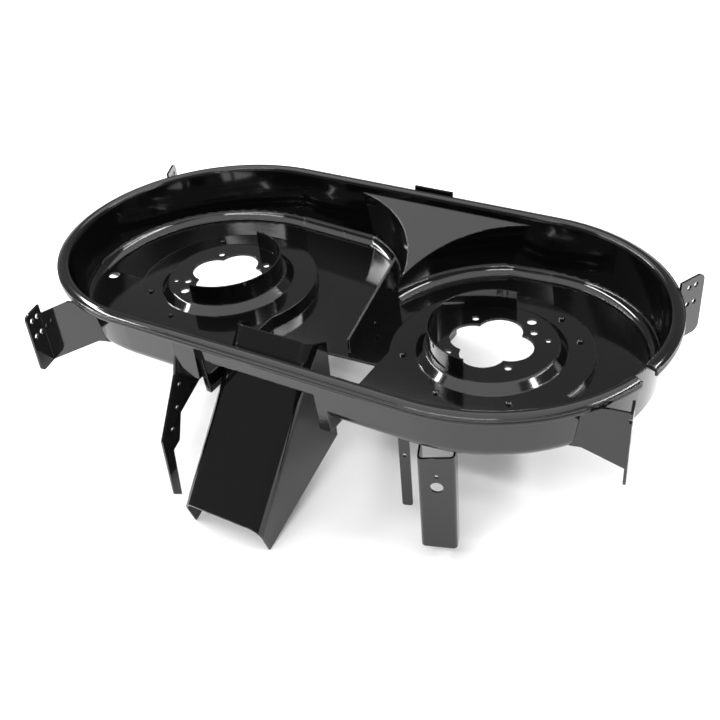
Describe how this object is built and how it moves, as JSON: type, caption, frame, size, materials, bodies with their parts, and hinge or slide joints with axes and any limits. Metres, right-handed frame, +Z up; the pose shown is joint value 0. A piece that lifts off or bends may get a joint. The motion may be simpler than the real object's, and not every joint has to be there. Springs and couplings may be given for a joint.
{
  "type": "lawn mower deck",
  "caption": "Pressed steel twin-spindle mower cutting deck, open side up, with rear discharge chute, baffle, string guards and welded wheel and hanger brackets.",
  "frame": {"origin": "midway between the two spindle axes, in the plane of the rim's top face", "axes": "+X along the line of the spindles, +Y towards the mower's front, +Z up through the open side, as the deck lies in the picture"},
  "size_m": [1.072, 0.6552, 0.3141],
  "materials": {
    "black_coat": "gloss black powder coat"
  },
  "bodies": {
    "root": {"deck_shell": "black_coat", "discharge_chute": "black_coat", "baffle_plate": "black_coat", "left_string_guard": "black_coat", "right_string_guard": "black_coat", "left_cover_studs": "black_coat", "right_cover_studs": "black_coat", "rear_left_wheel_bracket": "black_coat", "rear_right_wheel_bracket": "black_coat", "front_left_wheel_bracket": "black_coat", "front_right_wheel_bracket": "black_coat", "rear_left_hanger": "black_coat", "rear_right_hanger": "black_coat", "rear_strap": "black_coat", "front_hanger": "black_coat"}
  },
  "joints": []
}
